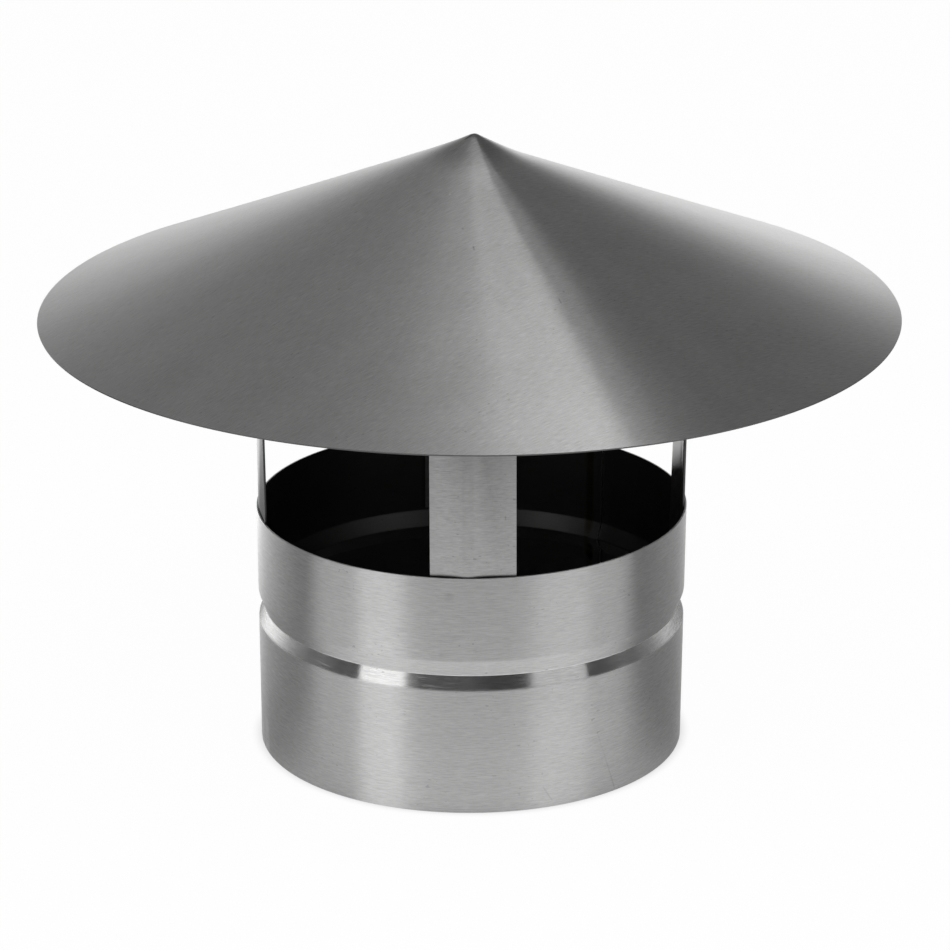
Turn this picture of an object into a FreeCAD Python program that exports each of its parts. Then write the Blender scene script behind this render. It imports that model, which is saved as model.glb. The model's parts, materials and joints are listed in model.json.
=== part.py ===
import FreeCAD, Part
import math
import os

# Rain cap for a round flue pipe, folded from thin brushed stainless sheet.
# A plain collar slips over the pipe and is beaded where the pipe stops.
# Four creased straps stand inside the collar and carry a shallow rolled cone.
# Millimetres, +Z up, origin at the centre of the collar's lower edge.
# Azimuths run counter-clockwise seen from above, from 0 at the front, which is -Y.

# Pipe and sheet
PIPE_DIAMETER = 150.0
PIPE_CLEARANCE = 0.2
SHEET = 0.6
STRAP_SHEET = 0.8

# Collar, from its lower edge upwards
SOCKET_DEPTH = 45.9
BEAD_FLANK_HEIGHT = 5.1
BEAD_SHOULDER_HEIGHT = 6.0
BEAD_DEPTH = 2.2
BEAD_FOOT_RADIUS = 1.6
MOUTH_HEIGHT = 31.0

# Hood, a cone whose tip was pushed a little off its axis when it was rolled
HOOD_DIAMETER = 303.4
OUTLET_HEIGHT = 71.1
CONE_RISE = 64.9
TIP_REACH = 25.0
TIP_SHIFT = 1.8
TIP_LIFT = 0.1
TIP_RADIUS = 0.8

# Lap seams: azimuth of the inner layer's edge, then the outer layer's lap and joggle beside it
COLLAR_SEAM_AZIMUTH = 140.7
COLLAR_LAP_ANGLE = 8.0
COLLAR_JOGGLE_ANGLE = 9.0
JOGGLE_STEPS = 6
HOOD_SEAM_AZIMUTH = 160.0
HOOD_LAP_WIDTH = 12.0
HOOD_JOGGLE_WIDTH = 4.0

# Straps: the crease is off centre, as it was folded by hand
STRAP_NARROW_PANEL = 13.0
STRAP_WIDE_PANEL = 17.0
CREASE_RADIUS = 20.0
EDGE_STANDOFF = 0.3
BEAD_GAP = 0.9
FADE_HEIGHT = 30.0
FLAT_HEIGHT = 6.0
TAB_LENGTH = 24.0
TAB_BEND_RADIUS = 1.2
TAB_GAP = 0.05
TAB_SECTIONS = 5
CREASE_AZIMUTHS = {"front": -0.8, "right": 94.2, "rear": 180.0, "left": 274.2}

# Sizes that follow from the ones above
BORE_RADIUS = PIPE_DIAMETER / 2 + PIPE_CLEARANCE
COLLAR_RADIUS = BORE_RADIUS + SHEET
CREST_HEIGHT = SOCKET_DEPTH + BEAD_FLANK_HEIGHT
BEAD_TOP = CREST_HEIGHT + BEAD_SHOULDER_HEIGHT
SHOULDER_TURN = math.atan2(BEAD_DEPTH, BEAD_SHOULDER_HEIGHT)
PLAIN_WALL_START = BEAD_TOP + SHEET * math.tan(SHOULDER_TURN / 2)
COLLAR_HEIGHT = BEAD_TOP + MOUTH_HEIGHT
HOOD_RADIUS = HOOD_DIAMETER / 2
RIM_HEIGHT = COLLAR_HEIGHT + OUTLET_HEIGHT
APEX_HEIGHT = RIM_HEIGHT + CONE_RISE
SLOPE = math.atan2(CONE_RISE, HOOD_RADIUS)
MARGIN = 10.0

UP = FreeCAD.Vector(0, 0, 1)
ORIGIN = FreeCAD.Vector(0, 0, 0)


def upright_plane(radius, height):
    """A point of a section that stands in the XZ plane."""
    return FreeCAD.Vector(radius, 0, height)


def at_azimuth(shape, azimuth):
    """A copy of a shape drawn over +X, turned to an azimuth."""
    turned = shape.copy()
    turned.rotate(ORIGIN, UP, azimuth - 90)
    return turned


def rounded_corner(before, corner, after, radius):
    """First, middle and last point of the arc that rounds a corner."""
    back = (before - corner).normalize()
    ahead = (after - corner).normalize()
    half_opening = back.getAngle(ahead) / 2
    tangent = radius / math.tan(half_opening)
    inward = (back + ahead).normalize()
    middle = corner + inward * (radius / math.sin(half_opening) - radius)
    return corner + back * tangent, middle, corner + ahead * tangent


def rounded_path(corners, radii):
    """Edges of an open path whose inner corners are rounded, or stay sharp where the radius is zero."""
    edges = []
    start = corners[0]
    for index, radius in enumerate(radii, 1):
        first = last = corners[index]
        if radius > 0:
            first, middle, last = rounded_corner(corners[index - 1], corners[index], corners[index + 1], radius)
            edges.append(Part.Arc(first, middle, last).toShape())
        edges.append(Part.LineSegment(start, first).toShape())
        start = last
    edges.append(Part.LineSegment(start, corners[-1]).toShape())
    return edges


def bent_sheet(corners, inside_radii, thickness, normal):
    """Closed outline of a sheet that lies to the left of its face's corners, seen against normal.

    A corner with no inside radius is folded sharp, with a mitre on both faces.
    """
    steps = [(end - start).normalize() for start, end in zip(corners, corners[1:])]
    sides = [normal.cross(step) for step in steps]
    far_corners = [corners[0] + sides[0] * thickness]
    near_radii = []
    far_radii = []
    for index, radius in enumerate(inside_radii):
        miter = (sides[index] + sides[index + 1]) * (thickness / (1 + sides[index] * sides[index + 1]))
        far_corners.append(corners[index + 1] + miter)
        turns_left = steps[index].cross(steps[index + 1]) * normal > 0
        outside = radius + thickness if radius > 0 else 0
        near_radii.append(outside if turns_left else radius)
        far_radii.append(radius if turns_left else outside)
    far_corners.append(corners[-1] + sides[-1] * thickness)
    near = rounded_path(corners, near_radii)
    far = rounded_path(far_corners, far_radii)
    caps = [
        Part.LineSegment(corners[-1], far_corners[-1]).toShape(),
        Part.LineSegment(corners[0], far_corners[0]).toShape(),
    ]
    return Part.Wire(Part.__sortEdges__(near + far + caps))


def joggle(section_at, azimuth, angle):
    """The stretch of sheet that steps from a seam's inner level to its outer one, as it nears the azimuth."""
    sections = []
    for step in range(JOGGLE_STEPS + 1):
        share = step / JOGGLE_STEPS
        level = share * share * (3 - 2 * share)
        sections.append(at_azimuth(section_at(level), azimuth - angle * (1 - share)))
    return Part.makeLoft(sections, True, False)


def collar_section(level):
    """Section of the collar's sheet, set out by level times the sheet's thickness."""
    wall = COLLAR_RADIUS + level * SHEET
    corners = [
        upright_plane(wall, 0),
        upright_plane(wall, SOCKET_DEPTH),
        upright_plane(wall - BEAD_DEPTH, CREST_HEIGHT),
        upright_plane(wall, BEAD_TOP),
        upright_plane(wall, COLLAR_HEIGHT),
    ]
    return bent_sheet(corners, [BEAD_FOOT_RADIUS, 0, 0], SHEET, FreeCAD.Vector(0, -1, 0))


def make_collar():
    """One rolled and beaded sheet, lapped outwards at its seam so that the bore stays clear."""
    ring = Part.Face(at_azimuth(collar_section(0), COLLAR_SEAM_AZIMUTH))
    ring = ring.revolve(ORIGIN, UP, 360 - COLLAR_JOGGLE_ANGLE)
    lap = Part.Face(at_azimuth(collar_section(1), COLLAR_SEAM_AZIMUTH))
    lap = lap.revolve(ORIGIN, UP, COLLAR_LAP_ANGLE)
    step = joggle(collar_section, COLLAR_SEAM_AZIMUTH, COLLAR_JOGGLE_ANGLE)
    return ring.fuse([step, lap]).removeSplitter()


def cone_height(radius):
    """Height of the hood's outer face at a radius."""
    return APEX_HEIGHT - radius * math.tan(SLOPE)


def under_face(depth):
    """Everything under a face that lies a depth below the hood's outer face."""
    drop = depth / math.cos(SLOPE)
    wide = HOOD_RADIUS + MARGIN
    skirt = Part.makeCone(
        wide, TIP_REACH, cone_height(TIP_REACH) - cone_height(wide), UP * (cone_height(wide) - drop), UP
    )
    tip_base = Part.Wire(Part.makeCircle(TIP_REACH, UP * (cone_height(TIP_REACH) - drop)))
    tip_centre = FreeCAD.Vector(TIP_SHIFT, 0, APEX_HEIGHT + TIP_LIFT - drop)
    tip_top = Part.Wire(Part.makeCircle(TIP_RADIUS, tip_centre))
    tip = Part.makeLoft([tip_base, tip_top], True, True)
    return skirt.fuse(tip).removeSplitter()


def rim_cutter():
    """A funnel that trims the hood's edge square to its sheet."""
    low = RIM_HEIGHT - MARGIN
    height = CONE_RISE + 2 * MARGIN
    spread = math.tan(SLOPE)
    return Part.makeCone(
        HOOD_RADIUS - MARGIN * spread, HOOD_RADIUS + (height - MARGIN) * spread, height, UP * low, UP
    )


def hood_lap():
    """The outer layer of the hood's seam, over +X: its joggle ramps up to the lap, which lies on the inner layer."""
    outwards = FreeCAD.Vector(math.sin(SLOPE), 0, math.cos(SLOPE)) * SHEET
    corners = [
        upright_plane(TIP_REACH, cone_height(TIP_REACH)),
        upright_plane(HOOD_RADIUS, RIM_HEIGHT),
        upright_plane(HOOD_RADIUS, RIM_HEIGHT) + outwards,
        upright_plane(TIP_REACH, cone_height(TIP_REACH)) + outwards,
    ]
    layer = Part.Face(Part.makePolygon(corners + corners[:1])).revolve(ORIGIN, UP, 360)
    length = HOOD_RADIUS + MARGIN
    ramp_room = 2 * HOOD_JOGGLE_WIDTH
    strip = Part.makeBox(length, ramp_room + HOOD_LAP_WIDTH, APEX_HEIGHT, FreeCAD.Vector(0, -ramp_room, 0))
    above_ramp = Part.makeBox(2 * length, 2 * ramp_room, MARGIN, FreeCAD.Vector(0, -2 * ramp_room, 0))
    above_ramp.rotate(ORIGIN, FreeCAD.Vector(1, 0, 0), math.degrees(math.atan2(SHEET, HOOD_JOGGLE_WIDTH)))
    above_ramp.rotate(ORIGIN, FreeCAD.Vector(0, 1, 0), math.degrees(SLOPE))
    above_ramp.translate(UP * APEX_HEIGHT + outwards)
    return layer.common(strip).cut(above_ramp)


def make_hood():
    """One rolled disc, lapped and welded along a line at the rear."""
    shell = under_face(0).cut(under_face(SHEET)).common(rim_cutter())
    return shell.fuse(at_azimuth(hood_lap(), HOOD_SEAM_AZIMUTH)).removeSplitter()


def panel_fall():
    """Angle by which each panel falls back from the crease, so that the wide one's edge clears the collar."""
    chord = math.asin(STRAP_WIDE_PANEL / (2 * BORE_RADIUS))
    return chord + EDGE_STANDOFF / STRAP_WIDE_PANEL


def flat_face_radius():
    """Distance of the strap's flat upper part from the axis, midway between crease and edge."""
    return BORE_RADIUS - STRAP_WIDE_PANEL * math.sin(panel_fall()) / 2


def creased_outline(height):
    """Plan of the creased strap, whose rounded crease touches the collar's inner wall at the front."""
    fall = panel_fall()
    corner = CREASE_RADIUS / math.cos(fall) - CREASE_RADIUS
    crease = FreeCAD.Vector(0, -BORE_RADIUS - corner, height)
    narrow = crease + FreeCAD.Vector(-math.cos(fall), math.sin(fall), 0) * STRAP_NARROW_PANEL
    wide = crease + FreeCAD.Vector(math.cos(fall), math.sin(fall), 0) * STRAP_WIDE_PANEL
    inside = CREASE_RADIUS - STRAP_SHEET
    return bent_sheet([narrow, crease, wide], [inside], STRAP_SHEET, UP)


def flat_outline(height):
    """Plan of the flat strap, split where the crease's round begins and ends."""
    fall = panel_fall()
    near = -flat_face_radius()
    far = near + STRAP_SHEET
    near_half = CREASE_RADIUS * math.sin(fall)
    far_half = (CREASE_RADIUS - STRAP_SHEET) * math.sin(fall)
    near_stops = [-STRAP_NARROW_PANEL, -near_half, near_half, STRAP_WIDE_PANEL]
    far_stops = [STRAP_WIDE_PANEL, far_half, -far_half, -STRAP_NARROW_PANEL]
    points = [FreeCAD.Vector(stop, near, height) for stop in near_stops]
    points += [FreeCAD.Vector(stop, far, height) for stop in far_stops]
    return Part.makePolygon(points + points[:1])


def seat_height(radius):
    """Height at which a strap's tab lies under the hood, at a radius."""
    return cone_height(radius) - SHEET / math.cos(SLOPE) - TAB_GAP


def flat_start():
    """Height at which the strap's crease has faded out."""
    return seat_height(math.hypot(flat_face_radius(), STRAP_WIDE_PANEL)) - FLAT_HEIGHT


def tab_section(offset):
    """Side view of the strap's flat top and of the tab bent inwards from it, at an offset from the crease."""
    near = flat_face_radius()
    far = near - TAB_LENGTH * math.cos(SLOPE)
    corners = [
        FreeCAD.Vector(offset, -near, flat_start()),
        FreeCAD.Vector(offset, -near, seat_height(math.hypot(near, offset))),
        FreeCAD.Vector(offset, -far, seat_height(math.hypot(far, offset))),
    ]
    return bent_sheet(corners, [TAB_BEND_RADIUS], STRAP_SHEET, FreeCAD.Vector(-1, 0, 0))


def make_leg():
    """One creased strap at the front: it stands in the collar, and its flat tab lies on the hood's underside."""
    bottom = PLAIN_WALL_START + BEAD_GAP
    fade_start = flat_start() - FADE_HEIGHT
    creased = Part.Face(creased_outline(bottom)).extrude(UP * (fade_start - bottom))
    fading = Part.makeLoft([creased_outline(fade_start), flat_outline(flat_start())], True, True)
    pitch = (STRAP_NARROW_PANEL + STRAP_WIDE_PANEL) / (TAB_SECTIONS - 1)
    stations = [index * pitch - STRAP_NARROW_PANEL for index in range(TAB_SECTIONS)]
    tab = Part.makeLoft([tab_section(offset) for offset in stations], True, True)
    return creased.fuse([fading, tab]).removeSplitter()


def single_solid(shape):
    """The only solid of a shape."""
    if len(shape.Solids) != 1:
        raise ValueError("expected one solid, found %d" % len(shape.Solids))
    return shape.Solids[0]


def main():
    """Writes each piece to its own file."""
    os.makedirs("parts", exist_ok=True)
    pieces = {"collar": make_collar(), "hood": make_hood()}
    leg = make_leg()
    for side, azimuth in CREASE_AZIMUTHS.items():
        standing = leg.copy()
        standing.rotate(ORIGIN, UP, azimuth)
        pieces["leg_" + side] = standing
    for name, shape in pieces.items():
        single_solid(shape).exportStep(os.path.join("parts", name + ".step"))


main()
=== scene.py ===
"""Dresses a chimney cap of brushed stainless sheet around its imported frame.

Lengths are metres, +Z is up and the origin is the centre of the collar's lower edge. Azimuths run
counter-clockwise seen from above, from zero at the front, which is -Y.
"""

import json
import logging
import math
from dataclasses import dataclass
from enum import Enum
from typing import Any, Union

import bmesh
import bpy
from mathutils import Matrix, Vector


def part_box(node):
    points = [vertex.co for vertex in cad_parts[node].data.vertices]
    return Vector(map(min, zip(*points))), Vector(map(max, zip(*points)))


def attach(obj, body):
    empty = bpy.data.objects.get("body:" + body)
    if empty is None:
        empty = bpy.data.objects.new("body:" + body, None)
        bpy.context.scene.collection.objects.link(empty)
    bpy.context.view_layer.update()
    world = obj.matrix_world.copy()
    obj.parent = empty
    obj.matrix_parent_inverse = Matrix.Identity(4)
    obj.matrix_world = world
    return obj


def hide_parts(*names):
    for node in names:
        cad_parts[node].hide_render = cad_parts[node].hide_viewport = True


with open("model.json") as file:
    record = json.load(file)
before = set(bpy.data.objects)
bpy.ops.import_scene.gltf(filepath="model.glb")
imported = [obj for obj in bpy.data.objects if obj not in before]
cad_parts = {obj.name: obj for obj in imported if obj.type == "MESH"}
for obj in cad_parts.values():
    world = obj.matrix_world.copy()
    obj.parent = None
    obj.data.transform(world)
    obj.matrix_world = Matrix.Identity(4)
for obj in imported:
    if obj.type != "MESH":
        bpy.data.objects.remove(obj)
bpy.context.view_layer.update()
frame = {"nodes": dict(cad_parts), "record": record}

LOG = logging.getLogger("chimney_cap")
Object = bpy.types.Object
Socket = bpy.types.NodeSocket
MILLIMETRE = 0.001
SHEET = 0.6 * MILLIMETRE
CUT_EDGE_ROUNDING = 0.12 * MILLIMETRE
TIP_MERGE = 0.001 * MILLIMETRE
STRAP_MERGE = 0.002 * MILLIMETRE
SHARP_ANGLE = math.radians(50)
BEAD_FOOT = 45.9 * MILLIMETRE
BEAD_CREST = 51.0 * MILLIMETRE


def add_object(name: str, data: bpy.types.ID) -> Object:
    """Puts a new object in the scene.

    Args:
        name: Its name.
        data: Its mesh, lamp or camera.

    Returns:
        The object.
    """
    added = bpy.data.objects.new(name, data)
    bpy.context.scene.collection.objects.link(added)
    return added


def round_about(azimuth: float, distance: float, height: float) -> tuple[float, float, float]:
    """A place given by its azimuth in degrees, its distance from the axis and its height."""
    spin = math.radians(azimuth)
    return math.sin(spin) * distance, -math.cos(spin) * distance, height


class Value:
    """A number on its way through a node tree: its operators add Math nodes."""

    def __init__(self, graph: "Graph", socket: Socket) -> None:
        """Wraps an output socket of a graph's tree."""
        self.graph = graph
        self.socket = socket

    def __add__(self, other: "Number") -> "Value":
        """Sum."""
        return self.graph.math("ADD", self, other)

    def __sub__(self, other: "Number") -> "Value":
        """Difference."""
        return self.graph.math("SUBTRACT", self, other)

    def __rsub__(self, other: "Number") -> "Value":
        """Difference from a plain number."""
        return self.graph.math("SUBTRACT", other, self)

    def __mul__(self, other: "Number") -> "Value":
        """Product."""
        return self.graph.math("MULTIPLY", self, other)

    def __truediv__(self, other: "Number") -> "Value":
        """Quotient."""
        return self.graph.math("DIVIDE", self, other)

    def __pow__(self, other: "Number") -> "Value":
        """Power."""
        return self.graph.math("POWER", self, other)

    __radd__ = __add__
    __rmul__ = __mul__


Number = Union[Value, float]


class Graph:
    """Adds nodes to one node tree."""

    def __init__(self, tree: bpy.types.NodeTree) -> None:
        """Starts on a tree whose old nodes are removed."""
        self.tree = tree
        tree.nodes.clear()

    def node(
        self, kind: str, settings: dict[str, Any] | None = None, inputs: dict[Any, Any] | None = None
    ) -> bpy.types.Node:
        """Adds one node.

        Args:
            kind: The node's type.
            settings: The node's own settings, set first.
            inputs: Socket names or numbers, each with a value or a link.

        Returns:
            The new node.
        """
        node = self.tree.nodes.new(kind)
        for name, setting in (settings or {}).items():
            setattr(node, name, setting)
        for name, value in (inputs or {}).items():
            self.feed(node.inputs[name], value)
        return node

    def feed(self, target: Socket, value: Any) -> None:
        """Links a socket to a value's socket, or sets it to a plain value.

        Args:
            target: The input socket.
            value: A value on its way, an output socket or plain data.
        """
        if isinstance(value, Value):
            self.tree.links.new(value.socket, target)
        elif isinstance(value, Socket):
            self.tree.links.new(value, target)
        else:
            target.default_value = value

    def math(self, operation: str, *operands: "Number") -> Value:
        """Adds a Math node on up to three operands."""
        node = self.node("ShaderNodeMath", {"operation": operation}, dict(enumerate(operands)))
        return Value(self, node.outputs[0])

    def vector(self, x: "Number", y: "Number", z: "Number" = 0.0) -> Socket:
        """Puts three numbers together as a vector."""
        return self.node("ShaderNodeCombineXYZ", None, {"X": x, "Y": y, "Z": z}).outputs[0]

    def split(self, vector: Socket) -> tuple[Value, Value, Value]:
        """Takes a vector apart."""
        node = self.node("ShaderNodeSeparateXYZ", None, {"Vector": vector})
        return tuple(Value(self, output) for output in node.outputs)

    def smooth_step(self, value: "Number", low: "Number", high: "Number") -> Value:
        """Zero below low, one above high and a smooth rise between them.

        Args:
            value: What is compared with the bounds.
            low: The bound at which the rise starts.
            high: The bound at which it ends.

        Returns:
            The share of the rise.
        """
        inputs = {"Value": value, "From Min": low, "From Max": high}
        node = self.node("ShaderNodeMapRange", {"interpolation_type": "SMOOTHSTEP"}, inputs)
        return Value(self, node.outputs["Result"])


class SheetRule(Graph):
    """A Geometry Nodes tree that forms a piece from named sizes."""

    def __init__(self, name: str, sizes: dict[str, float | int]) -> None:
        """Makes the tree and one input for each size.

        Args:
            name: The tree's name.
            sizes: The piece's sizes by name; whole numbers are counts.
        """
        super().__init__(bpy.data.node_groups.new(name, "GeometryNodeTree"))
        self.sizes = sizes
        self.identifiers = {}
        for size, value in sizes.items():
            kind = "NodeSocketInt" if isinstance(value, int) else "NodeSocketFloat"
            item = self.tree.interface.new_socket(size, in_out="INPUT", socket_type=kind)
            self.identifiers[size] = item.identifier
        self.tree.interface.new_socket("Geometry", in_out="OUTPUT", socket_type="NodeSocketGeometry")
        self.entry = self.node("NodeGroupInput")

    def size(self, name: str) -> Value:
        """A named size of the piece."""
        return Value(self, self.entry.outputs[name])

    def pick(self, kind: str, index: "Number", choices: list) -> Socket:
        """Picks one of several values by its number.

        Args:
            kind: The values' data type.
            index: The number, from zero.
            choices: The values.

        Returns:
            The socket of the value picked.
        """
        node = self.node("GeometryNodeIndexSwitch", {"data_type": kind})
        while len(node.index_switch_items) < len(choices):
            node.index_switch_items.new()
        self.feed(node.inputs["Index"], index)
        for place, choice in enumerate(choices):
            self.feed(node.inputs[place + 1], choice)
        return node.outputs[0]

    def index(self) -> Value:
        """Number of the element that a field is read on."""
        return Value(self, self.node("GeometryNodeInputIndex").outputs[0])

    def position(self) -> Socket:
        """Place of the element that a field is read on."""
        return self.node("GeometryNodeInputPosition").outputs[0]

    def unit_grid(self, rows: Value | Socket) -> tuple[Socket, Value, Value]:
        """A square blank of one unit, as many points across as it has columns.

        Args:
            rows: How many rows of points it has.

        Returns:
            The blank, and the X and Y of its points, from minus a half to a half.
        """
        inputs = {"Size X": 1.0, "Size Y": 1.0, "Vertices X": self.size("Columns"), "Vertices Y": rows}
        grid = self.node("GeometryNodeMeshGrid", None, inputs).outputs[0]
        x, y, _ = self.split(self.position())
        return grid, x, y

    def place(self, geometry: Socket, position: Socket) -> Socket:
        """Moves every point to a position."""
        inputs = {"Geometry": geometry, "Position": position}
        return self.node("GeometryNodeSetPosition", None, inputs).outputs[0]

    def ring_point(self, azimuth: Value, radius: Value) -> tuple[Value, Value]:
        """X and Y of a point given by its azimuth and its radius."""
        return self.math("SINE", azimuth) * radius, self.math("COSINE", azimuth) * radius * -1.0

    def store_map(self, geometry: Socket, place: Socket) -> Socket:
        """Keeps each point's place on the flat blank as the piece's UV map, in metres.

        Args:
            geometry: The blank, before it is rolled.
            place: The field of places.

        Returns:
            The geometry with its map.
        """
        inputs = {"Geometry": geometry, "Name": "UVMap", "Value": place}
        settings = {"data_type": "FLOAT2", "domain": "CORNER"}
        return self.node("GeometryNodeStoreNamedAttribute", settings, inputs).outputs[0]

    def make(self, geometry: Socket, name: str, material: bpy.types.Material) -> Object:
        """Ends the tree, runs it with its sizes and keeps the result as a plain mesh.

        Args:
            geometry: The formed geometry.
            name: The new piece's name.
            material: The finish of all its faces.

        Returns:
            The piece, at the origin.
        """
        realized = self.node("GeometryNodeRealizeInstances", None, {"Geometry": geometry}).outputs[0]
        dressed = self.node("GeometryNodeSetMaterial", None, {"Geometry": realized, "Material": material})
        smooth = self.node("GeometryNodeSetShadeSmooth", None, {"Geometry": dressed.outputs[0]})
        self.node("NodeGroupOutput", None, {0: smooth.outputs[0]})
        carrier = add_object(name + "_carrier", bpy.data.meshes.new(name + "_carrier"))
        modifier = carrier.modifiers.new("rule", "NODES")
        modifier.node_group = self.tree
        for size, value in self.sizes.items():
            modifier[self.identifiers[size]] = value
        evaluated = carrier.evaluated_get(bpy.context.evaluated_depsgraph_get())
        mesh = bpy.data.meshes.new_from_object(evaluated)
        mesh.name = name
        bpy.data.objects.remove(carrier)
        return add_object(name, mesh)


def named_sizes(part: Any, *fields: str) -> dict[str, float | int]:
    """Some fields of a part as a rule's inputs, where tip_reach becomes Tip reach."""
    return {field.replace("_", " ").capitalize(): getattr(part, field) for field in fields}


@dataclass(frozen=True)
class Mark:
    """A speck, scratch, weld spot, tint or painted shade on a sheet, its lengths in millimetres.

    A mark with an end is a line, and a line with a pitch is a row of spots. The core is the share of the
    reach that has the full tone.
    """

    start: tuple[float, float, float]
    end: tuple[float, float, float] | None = None
    reach: float = 0.5
    tone: float = -0.5
    warmth: float = 0.0
    pitch: float = 0.0
    core: float = 0.3

    def cover(self, graph: Graph, place: tuple[Value, Value, Value]) -> Value:
        """One on the mark, falling to zero at its reach.

        Args:
            graph: The material's graph.
            place: The shaded point's own coordinates.

        Returns:
            The share of the mark at that point.
        """
        offset = [axis - start * MILLIMETRE for axis, start in zip(place, self.start)]
        if self.end:
            run = (Vector(self.end) - Vector(self.start)) * MILLIMETRE
            steps = [axis * part for axis, part in zip(offset, run.normalized())]
            capped = graph.math("MINIMUM", steps[0] + steps[1] + steps[2], run.length)
            along = graph.math("MAXIMUM", capped, 0.0)
            if self.pitch:
                pitch = self.pitch * MILLIMETRE
                along = graph.math("SNAP", along + pitch / 2, pitch)
            offset = [axis - along * part for axis, part in zip(offset, run.normalized())]
        distance = graph.math("SQRT", offset[0] * offset[0] + offset[1] * offset[1] + offset[2] * offset[2])
        reach = self.reach * MILLIMETRE
        return 1.0 - graph.smooth_step(distance, reach * self.core, reach)


class Grain(Enum):
    """How the brush strokes run over a piece."""

    LEVEL = "level lines round the flue's axis"
    ROLLED = "straight lines of the flat blank, carried round as it was rolled"


WANDER_CELL = (18 * MILLIMETRE, 14 * MILLIMETRE)
WANDER_RANGE = (0.5, 0.62)
HAIRLINE_CELL = (16 * MILLIMETRE, 0.5 * MILLIMETRE)
HAIRLINE_RANGE = (0.66, 0.7)
PIT_CELL = (1.6 * MILLIMETRE, 0.9 * MILLIMETRE)
PIT_RANGE = (0.77, 0.81)
PIT_REGION_CELL = (14 * MILLIMETRE, 14 * MILLIMETRE)
PIT_REGION_RANGE = (0.5, 0.6)


@dataclass(frozen=True)
class StrokePlane:
    """Coordinates along and across the brush strokes, in metres. Along level strokes they are X and Y."""

    graph: Graph
    along: tuple[Value, ...]
    across: Value

    def noise(self, length: float, width: float, inputs: dict[str, float]) -> Value:
        """Noise between zero and one.

        Args:
            length: The length of its cells, along the strokes.
            width: Their width, across the strokes.
            inputs: The noise node's other inputs.

        Returns:
            The noise at the shaded point.
        """
        vector = self.graph.vector(*[place / length for place in self.along], self.across / width)
        inputs = {"Vector": vector, "Scale": 1.0, **inputs}
        return Value(self.graph, self.graph.node("ShaderNodeTexNoise", None, inputs).outputs["Fac"])

    def streaks(self, length: float, width: float, detail: float) -> Value:
        """Soft strokes between zero and one."""
        return self.noise(length, width, {"Detail": detail, "Roughness": 0.6})

    def hairlines(self) -> Value:
        """Sparse bright scratches that wander off the grain, as the share of each at the shaded point."""
        line = self.graph.smooth_step(self.noise(*HAIRLINE_CELL, {"Distortion": 0.35}), *HAIRLINE_RANGE)
        return line * self.graph.smooth_step(self.noise(*WANDER_CELL, {"Detail": 1.0}), *WANDER_RANGE)

    def pits(self) -> Value:
        """Rare dark pits under a millimetre wide, as the share of each at the shaded point."""
        pit = self.graph.smooth_step(self.noise(*PIT_CELL, {"Detail": 0.0}), *PIT_RANGE)
        return pit * self.graph.smooth_step(self.noise(*PIT_REGION_CELL, {"Detail": 0.0}), *PIT_REGION_RANGE)


LEVEL_GRAIN_ROTATION = 0.25


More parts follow.
